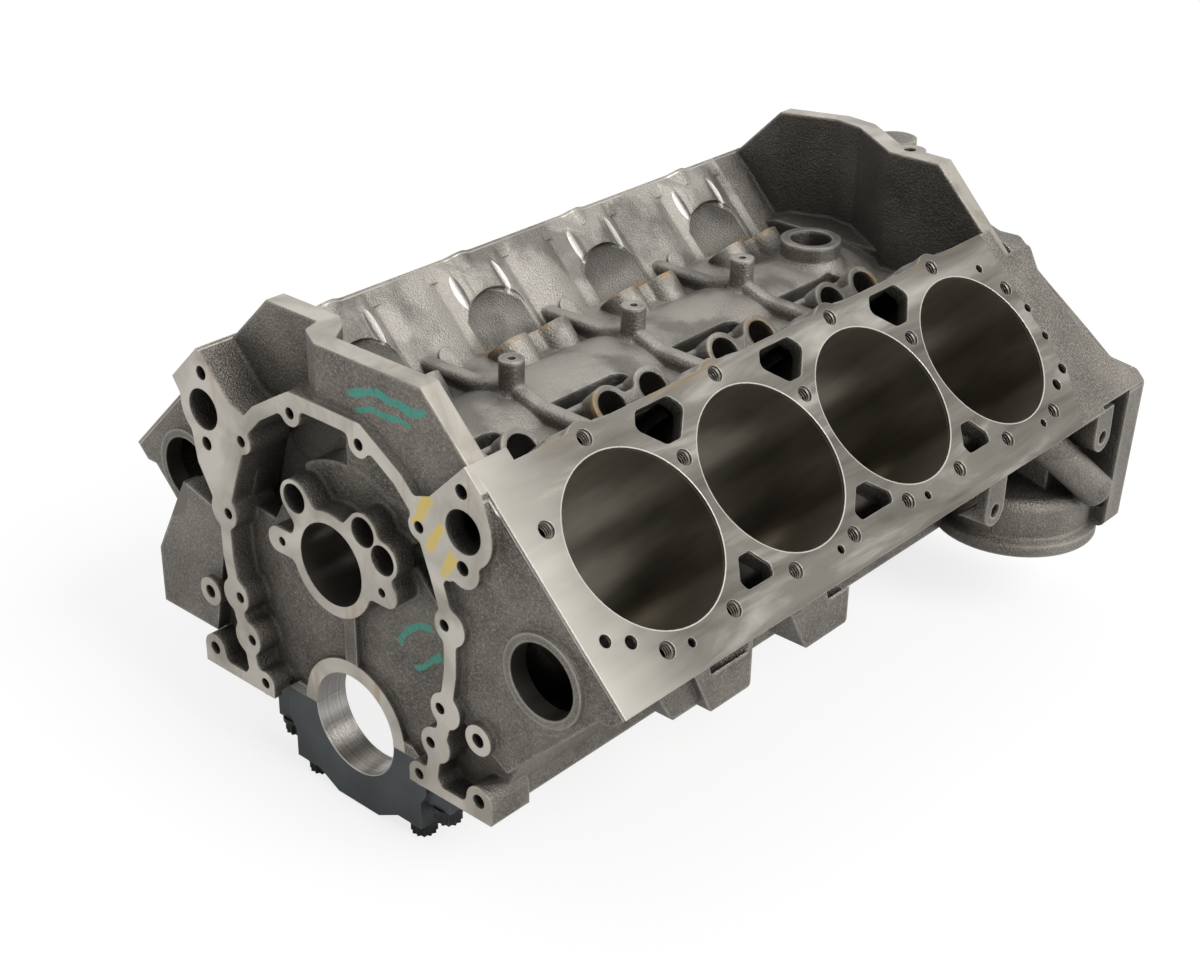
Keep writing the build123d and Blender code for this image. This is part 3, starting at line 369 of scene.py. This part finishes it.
# Pushrod slots: the cutter has grazed the valley wall beside each lifter, and each slot is painted with
# shade on one side and a highlight on the other; below them the wall arches back, with a painted shadow
# under each brow
slot_spread = 0.01875
slot_shift = 0.0025
slot_half_width = 0.004
slot_half_height = 0.0125
slot_middle = 0.2035
slot_reach = 0.016
slot_painted_highlight = (0.72, 0.7, 0.66, 1)
slot_painted_shade = (0.12, 0.11, 0.1, 1)
arch_half_width = 0.025
arch_crown = 0.199
arch_rise = 0.015
arch_foot = 0.162
brow_start = 0.004
brow_end = 0.024
over_pair = sums(tree, "SUBTRACT", over_bore, slot_shift)
beside_pair = sums(tree, "SUBTRACT", sums(tree, "ABSOLUTE", over_pair), slot_spread)
slot_across = sums(tree, "DIVIDE", beside_pair, slot_half_width)
slot_rise = sums(tree, "DIVIDE", sums(tree, "SUBTRACT", bank_up, slot_middle), slot_half_height)
in_slot = both(tree, less(tree, reach_from(tree, slot_across, slot_rise), 1.0), in_row, over_valley,
               not_face, more(tree, bank_out, -valley_edge - slot_reach))
slot_painted_light = blend(tree, between(tree, slot_across, -0.5, 0.45), slot_painted_shade, slot_painted_highlight)
arch_across = sums(tree, "DIVIDE", over_pair, arch_half_width)
arch_drop = sums(tree, "MULTIPLY", sums(tree, "MULTIPLY", arch_across, arch_across), arch_rise)
below_arch = sums(tree, "SUBTRACT", sums(tree, "SUBTRACT", arch_crown, arch_drop), bank_up)
under_brow_painted_shadow = both(tree, less(tree, sums(tree, "ABSOLUTE", arch_across), 1.0),
                  more(tree, below_arch, 0.0), in_row, over_valley, more(tree, bank_up, arch_foot),
                  between(tree, below_arch, brow_start, brow_end, 0.72, 0.4))
# Painted shadow under each brow, then painted shade and highlight across each slot
rough_colour = blend(tree, under_brow_painted_shadow, rough_colour, skin_dark)
rough_colour = blend(tree, in_slot, rough_colour, slot_painted_light)

# Rust on the machined tops of the lifter rings
lifter_row = 0.0812
lifter_ring_radius = 0.0152
lifter_ring_foot = 0.1545
lifter_ring_top = 0.165
from_lifter = reach_from(tree, sums(tree, "ADD", bank_out, lifter_row), beside_pair)
ring_rust = both(tree, less(tree, from_lifter, lifter_ring_radius),
                 more(tree, bank_up, lifter_ring_foot), in_row, less(tree, bank_up, lifter_ring_top),
                 between(tree, rust_patch, 0.45, 0.62, 0.0, 0.6))
rough_colour = blend(tree, ring_rust, rough_colour, rust_colour)

# Decks: milled grey, with broad slanting streaks, partly wipes of oil film and partly painted reflection,
# a paler front, partly wiped and partly painted reflection, a painted highlight on each bore rim and
# cut edge, and rust along the edge over the valley
deck_grey = (0.2, 0.188, 0.162, 1)
deck_oiled = (0.09, 0.082, 0.068, 1)
deck_wiped_and_reflection = (0.52, 0.493, 0.44, 1)
rim_painted_highlight = (0.55, 0.53, 0.49, 1)
wipe_and_reflection_slant = radians(38)
wipe_and_reflection_scale = (6.0, 42.0, 5.0)
front_wipe_and_reflection_start = -0.006
front_wipe_and_reflection_end = 0.06
edge_rust_line = 0.0655
on_deck = put(tree, "ShaderNodeCombineXYZ", {0: bank_along, 1: bank_out, 2: left}).outputs[0]
wipes_and_reflection_streaks = noise(tree, stretched(tree, on_deck, wipe_and_reflection_scale, wipe_and_reflection_slant), 1.0, 5.0, Roughness=0.55,
              Distortion=0.5)
deck_colour = blend(tree, between(tree, wipes_and_reflection_streaks, 0.34, 0.52), deck_oiled, deck_grey)
deck_colour = blend(tree, between(tree, wipes_and_reflection_streaks, 0.54, 0.74), deck_colour, deck_wiped_and_reflection)
# Painted reflection, and partly a wiped front: each deck is made paler towards its front
front_wiped_and_reflection = between(tree, bank_along, front_wipe_and_reflection_start, front_wipe_and_reflection_end, 0.75, 0.0)
deck_colour = blend(tree, front_wiped_and_reflection, deck_colour, deck_wiped_and_reflection)
edge_rust = both(tree, less(tree, bank_out, -edge_rust_line),
                 between(tree, rust_patch, 0.54, 0.64, 0.0, 0.4))
# Painted highlight along the cut edges of the deck and round each bore rim
deck_colour = blend(tree, cut_edge["Edge"], deck_colour, rim_painted_highlight)
deck_colour = blend(tree, rim, deck_colour, rim_painted_highlight)
deck_colour = blend(tree, edge_rust, deck_colour, rust_colour)

# Other machined faces: warm pale grey with fine cutter lines, handling stains and rusty runs
cut_pale = (0.56, 0.527, 0.468, 1)
cut_stained = (0.33, 0.303, 0.258, 1)
cutter_scale = (900.0, 60.0, 900.0)
run_scale = (75.0, 75.0, 7.0)
cutter_line_strength = 0.25
cut_rust_strength = 0.6
lines = noise(tree, stretched(tree, place, cutter_scale), 1.0, 2.0)
stain = noise(tree, place, 23.0, 6.0, Distortion=0.6)
runs = noise(tree, stretched(tree, place, run_scale), 1.0, 3.0)
cut_colour = blend(tree, between(tree, stain, 0.42, 0.64), cut_pale, cut_stained)
cut_colour = blend(tree, sums(tree, "MULTIPLY", lines, cutter_line_strength), cut_colour, skin_mid)
cut_colour = blend(tree, sums(tree, "MULTIPLY", rust, cut_rust_strength), cut_colour, rust_colour)
cut_colour = blend(tree, between(tree, runs, 0.58, 0.72, 0.0, 0.5), cut_colour, rust_colour)

# Bores: honed cylinders dark olive with upright streaks, partly honing and partly painted reflection,
# the main bore bright in fine rings, the other holes dull
honed_dark = (0.17, 0.153, 0.12, 1)
honed_light_and_reflection = (0.42, 0.385, 0.32, 1)
bored_bright = (0.62, 0.6, 0.58, 1)
turned_dull = (0.14, 0.128, 0.11, 1)
honing_and_reflection_scale = (30.0, 30.0, 5.0)


def bored_colour(tree, place):
    """Bright metal with fine rings, as the boring bar leaves it in the block and its caps alike."""
    marks = put_group(tree, turning_marks, {"Place": place, "Across": 6.0, "Along": 900.0}).outputs[0]
    return blend(tree, between(tree, marks, 0.4, 0.7, 0.0, 0.55), bored_bright, skin_mid)


in_barrel = put(tree, "ShaderNodeCombineXYZ", {0: over_bore, 1: bank_out, 2: bank_up}).outputs[0]
# Upright streaks in each cylinder, partly honing and partly painted reflection
honing_and_reflection = noise(tree, stretched(tree, in_barrel, honing_and_reflection_scale), 1.0, 4.0)
honed_and_reflection_colour = blend(tree, between(tree, honing_and_reflection, 0.35, 0.65), honed_dark, honed_light_and_reflection)
colour = blend(tree, faced, rough_colour, cut_colour)
colour = blend(tree, deck, colour, deck_colour)
colour = blend(tree, turned, colour, turned_dull)
colour = blend(tree, in_bore, colour, honed_and_reflection_colour)
colour = blend(tree, in_main, colour, bored_colour(tree, place))

# Marker paint: green on the front wall and beside the timing face, yellow on the band between
green_paint = (0.03, 0.33, 0.25, 1)
yellow_paint = (0.72, 0.52, 0.1, 1)
paint_cover = 0.85
front_limit = 0.1
front_facing = -0.8
wall_paint_foot = 0.205
chest_paint_top = 0.12


def stroke(across_mid, up_mid, degrees_turned, length, width):
    """A marker stroke by its middle, slant, length and width."""
    return put_group(tree, marker_stroke, {
        "Place": place, "Middle": (across_mid, 0.0, up_mid), "Turn": radians(degrees_turned),
        "Half length": length / 2, "Half width": width / 2}).outputs[0]


on_wall = both(tree, most(tree, stroke(0.047, 0.232, 5, 0.062, 0.005),
                          stroke(0.044, 0.222, 7, 0.044, 0.0045)), more(tree, up, wall_paint_foot))
on_chest = both(tree, most(tree, stroke(0.050, 0.084, 38, 0.036, 0.005),
                           stroke(0.060, 0.070, 38, 0.030, 0.005)), less(tree, up, chest_paint_top))
on_band = most(tree, stroke(0.075, 0.179, 62, 0.026, 0.007), stroke(0.086, 0.166, 62, 0.024, 0.007),
               stroke(0.096, 0.152, 62, 0.020, 0.007))
on_right = more(tree, across, 0.0)
green = both(tree, most(tree, on_wall, on_chest), less(tree, facing_along, front_facing), on_right,
             less(tree, along, front_limit))
yellow = both(tree, on_band, at_level(tree, along, timing_face), on_right)
colour = blend(tree, sums(tree, "MULTIPLY", green, paint_cover), colour, green_paint)
colour = blend(tree, sums(tree, "MULTIPLY", yellow, paint_cover), colour, yellow_paint)

# Sheen and relief: the cast skin is rough and grained, the machined surfaces smoother and lined
skin_roughness = 0.42
cut_roughness = 0.33
stain_roughness = 0.25
skin_metal = 0.72
cut_metal = 0.85
cutter_relief = 0.03
stained = sums(tree, "MULTIPLY", sums(tree, "SUBTRACT", stain, 0.5), stain_roughness)
roughness = sums(tree, "ADD", between(tree, smooth, 0.0, 1.0, skin_roughness, cut_roughness), stained)
unpainted = sums(tree, "SUBTRACT", 1.0, most(tree, green, yellow))
metallic = both(tree, between(tree, smooth, 0.0, 1.0, skin_metal, cut_metal), unpainted)
cast_relief = both(tree, grain["Height"], sums(tree, "SUBTRACT", 1.0, smooth))
relief = sums(tree, "ADD", cast_relief, both(tree, lines, smooth, cutter_relief))
eased = put(tree, "ShaderNodeMix", {0: smooth, 4: cast_edge["Normal"], 5: cut_edge["Normal"]},
            data_type="VECTOR").outputs[1]
bump = put(tree, "ShaderNodeBump", {"Strength": 0.75, "Distance": 0.0009, "Height": relief,
                                    "Normal": eased}).outputs[0]
set_inputs(tree, metal, {"Base Color": colour, "Roughness": roughness, "Metallic": metallic,
                         "Specular IOR Level": 0.35, "Normal": bump})
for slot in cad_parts["block_casting"].material_slots:
    slot.material = skin

# Main bearing caps: five cast steel caps, one under each web, painted dark and left matte, with a
# bore cut through each in line with the crankshaft.
cap_dark = (0.028, 0.033, 0.037, 1)
cap_worn = (0.06, 0.069, 0.075, 1)
cap_rubbed = (0.17, 0.18, 0.185, 1)
cap_rub_strength = 0.6
cap_paint, tree, metal = new_material("main_cap_paint")
place = object_place(tree)
across, _, up = put(tree, "ShaderNodeSeparateXYZ", {0: place}).outputs
grain = put_group(tree, sand_grain, {"Place": place, "Grains per metre": 900.0}).outputs
wear = put_group(tree, edge_wear_and_highlight, {"Radius": 0.0012, "Start": 0.97, "Full": 0.8}).outputs
colour = blend(tree, between(tree, grain["Cloud"], 0.35, 0.7), cap_dark, cap_worn)
colour = blend(tree, sums(tree, "MULTIPLY", wear["Edge"], cap_rub_strength), colour, cap_rubbed)
in_cap_bore = less(tree, reach_from(tree, across, up), main_bore_radius + cut_margin)
colour = blend(tree, in_cap_bore, colour, bored_colour(tree, place))
bump = put(tree, "ShaderNodeBump", {"Strength": 0.25, "Distance": 0.0005, "Height": grain["Height"],
                                    "Normal": wear["Normal"]}).outputs[0]
set_inputs(tree, metal, {"Base Color": colour, "Normal": bump,
                         "Roughness": between(tree, in_cap_bore, 0.0, 1.0, 0.5, 0.28),
                         "Metallic": between(tree, in_cap_bore, 0.0, 1.0, 0.2, 0.85)})

# Cap bolts: forged steel with twelve point heads and round flanges, black from their heat treatment.
# The gearbox dowels are plain ground steel pins, pressed into the gearbox face.
bolt_dark = (0.012, 0.012, 0.013, 1)
bolt_oiled = (0.035, 0.034, 0.033, 1)
bolt_rubbed = (0.16, 0.15, 0.14, 1)
bolt_rub_strength = 0.5
bolt_black, tree, metal = new_material("black_bolt_steel")
oil = noise(tree, object_place(tree), 160.0, 3.0)
wear = put_group(tree, edge_wear_and_highlight, {"Radius": 0.0005, "Start": 0.97, "Full": 0.8}).outputs
colour = blend(tree, oil, bolt_dark, bolt_oiled)
colour = blend(tree, sums(tree, "MULTIPLY", wear["Edge"], bolt_rub_strength), colour, bolt_rubbed)
set_inputs(tree, metal, {"Base Color": colour, "Metallic": 0.6, "Normal": wear["Normal"],
                         "Roughness": between(tree, oil, 0.3, 0.7, 0.3, 0.5)})

ground_bright = (0.56, 0.55, 0.53, 1)
ground_dull = (0.4, 0.39, 0.375, 1)
dowel_steel, tree, metal = new_material("ground_dowel_steel")
marks = put_group(tree, turning_marks, {"Place": object_place(tree), "Across": 30.0,
                                        "Along": 2200.0}).outputs[0]
set_inputs(tree, metal, {"Base Color": blend(tree, marks, ground_bright, ground_dull), "Metallic": 1.0,
                         "Roughness": between(tree, marks, 0.3, 0.7, 0.18, 0.34)})
for name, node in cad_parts.items():
    finish = None
    if name == "gearbox_dowels":
        finish = dowel_steel
    elif name.endswith("bolts"):
        finish = bolt_black
    elif name.startswith("main_cap"):
        finish = cap_paint
    if finish:
        for slot in node.material_slots:
            slot.material = finish

# Head bolt threads: cut in the seventeen tapped holes of each deck. One thread is wound as a fine
# ridge that stands in from the wall of its hole, and a copy of it lines each of the others.
head_bolt_radius = 0.0052
thread_pitch = 0.0019
thread_height = 0.0006
thread_root = 0.0003
thread_turns = 4
thread_steps = 20
thread_start = 0.0008
valley_bolt_row = -0.0623
bridge_bolt_row = -0.0281
outer_bolt_row = 0.0568
outer_bolt_half_pitch = 0.0281
thread_dark = (0.05, 0.046, 0.038, 1)
thread_light = (0.2, 0.187, 0.16, 1)

thread_steel, tree, metal = new_material("cut_thread")
film = noise(tree, object_place(tree), 300.0, 3.0)
set_inputs(tree, metal, {"Base Color": blend(tree, film, thread_dark, thread_light), "Metallic": 0.85,
                         "Roughness": between(tree, film, 0.3, 0.7, 0.26, 0.42)})

bpy.ops.object.select_all(action="DESELECT")
bpy.ops.mesh.primitive_circle_add(vertices=3, radius=thread_height, fill_type="NOTHING",
                                  location=(head_bolt_radius - thread_root, 0, 0),
                                  rotation=(pi / 2, -pi / 2, 0))
first_thread = bpy.context.object
first_thread.name = "first_thread"
bpy.ops.object.transform_apply(location=True, rotation=True, scale=True)
winding = first_thread.modifiers.new("winding", "SCREW")
winding.axis = "Z"
winding.screw_offset = thread_pitch
winding.iterations = thread_turns
winding.steps = thread_steps
winding.render_steps = thread_steps
winding.use_merge_vertices = False
bpy.ops.object.modifier_apply(modifier="winding")
bpy.ops.object.mode_set(mode="EDIT")
bpy.ops.mesh.select_all(action="SELECT")
bpy.ops.mesh.fill_holes(sides=3)
bpy.ops.mesh.select_all(action="SELECT")
bpy.ops.mesh.normals_make_consistent(inside=False)
bpy.ops.object.mode_set(mode="OBJECT")
bpy.ops.object.shade_smooth_by_angle(angle=radians(30))


def head_bolt_places():
    """Each hole of a deck, as its place across and along the bank."""
    places = []
    for index in range(bores_per_bank):
        bore_at = first_bore + bore_spacing * index
        places.append((valley_bolt_row, bore_at))
        places.append((outer_bolt_row, bore_at - outer_bolt_half_pitch))
        places.append((outer_bolt_row, bore_at + outer_bolt_half_pitch))
    for index in range(bores_per_bank + 1):
        places.append((bridge_bolt_row, first_bore + bore_spacing * (index - 0.5)))
    return places


thread_foot = deck_height - thread_start - thread_pitch * thread_turns
for bank, hand, set_back in (("right", 1, 0.0), ("left", -1, bank_offset)):
    bpy.ops.object.select_all(action="DESELECT")
    for out, hole_at in head_bolt_places():
        spot = Vector((hand * root_half * (thread_foot + out), hole_at + set_back,
                       root_half * (thread_foot - out)))
        lean = Matrix.Translation(spot) @ Matrix.Rotation(hand * radians(45), 4, "Y")
        thread = first_thread.copy()
        thread.data = first_thread.data.copy()
        thread.data.transform(lean)
        bpy.context.collection.objects.link(thread)
        thread.select_set(True)
        bpy.context.view_layer.objects.active = thread
    bpy.ops.object.join()
    threads = bpy.context.object
    threads.name = f"{bank}_deck_threads"
    threads.data.materials.clear()
    threads.data.materials.append(thread_steel)
    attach(threads, "root")
bpy.data.objects.remove(first_thread, do_unlink=True)

# Floor: a pale sheet that runs out of view. The block sees it as it is, and the camera sees it
# nearly white by its own glow, with the block's shadow left on it.
floor_size = 30.0
floor_middle = 0.25
sheet_white = (0.85, 0.85, 0.85, 1)
sheet_seen = (0.22, 0.22, 0.22, 1)
sheet_glow = 0.79
low_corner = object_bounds()[0]
bpy.ops.object.select_all(action="DESELECT")
bpy.ops.mesh.primitive_plane_add(size=floor_size, location=(0.0, floor_middle, low_corner[2]))
floor = bpy.context.object
floor.name = "floor"
bpy.ops.object.transform_apply(location=True, rotation=True, scale=True)
sheet, tree, matte = new_material("white_sheet")
to_camera = put(tree, "ShaderNodeLightPath").outputs["Is Camera Ray"]
set_inputs(tree, matte, {"Base Color": blend(tree, to_camera, sheet_white, sheet_seen),
                         "Roughness": 0.9, "Specular IOR Level": 0.1,
                         "Emission Color": (1, 1, 1, 1),
                         "Emission Strength": sums(tree, "MULTIPLY", to_camera, sheet_glow)})
floor.data.materials.append(sheet)

# Studio light: a white tent all round, a wide soft light overhead, a stronger one from the right
# side and a faint one from the front left.
tent_light = 0.36
tent_seen = 1.0
world = bpy.data.worlds.new("tent")
bpy.context.scene.world = world
world.use_nodes = True
tree = world.node_tree
tree.nodes.clear()
ray = put(tree, "ShaderNodeLightPath").outputs
seen = most(tree, ray["Is Camera Ray"], ray["Is Glossy Ray"], ray["Is Transmission Ray"])
lit = put(tree, "ShaderNodeBackground", {"Color": (1, 1, 1, 1), "Strength": tent_light}).outputs[0]
shown = put(tree, "ShaderNodeBackground", {"Color": (1, 1, 1, 1), "Strength": tent_seen}).outputs[0]
chosen = put(tree, "ShaderNodeMixShader", {0: seen, 1: lit, 2: shown}).outputs[0]
put(tree, "ShaderNodeOutputWorld", {0: chosen})


def soft_light(name, comes_from, spread, strength):
    """A wide soft light from one side, by its spread in degrees, that reaches the floor evenly."""
    data = bpy.data.lights.new(name, "SUN")
    data.angle = radians(spread)
    data.energy = strength
    lamp = bpy.data.objects.new(name, data)
    bpy.context.collection.objects.link(lamp)
    lamp.location = comes_from
    lamp.rotation_euler = Vector(comes_from).to_track_quat("Z", "Y").to_euler()


soft_light("overhead", (-0.2, 0.3, 2.0), 70, 0.7)
soft_light("right_side", (1.0, 0.1, 0.8), 36, 2.5)
soft_light("front_left", (-0.8, -1.4, 0.8), 60, 0.25)

# Camera: where the photograph was taken from, in front of the right bank and above it.
camera_data = bpy.data.cameras.new("camera")
camera = bpy.data.objects.new("camera", camera_data)
bpy.context.collection.objects.link(camera)
camera.location = (0.73894, -0.63357, 0.67631)
camera.rotation_euler = (radians(61.99), radians(-0.207), radians(42.78))
camera_data.sensor_width = 36.0
camera_data.lens = 58.96
camera_data.shift_x = 0.0442
camera_data.shift_y = 0.0036
bpy.context.scene.camera = camera
bpy.context.scene.view_settings.view_transform = "Standard"
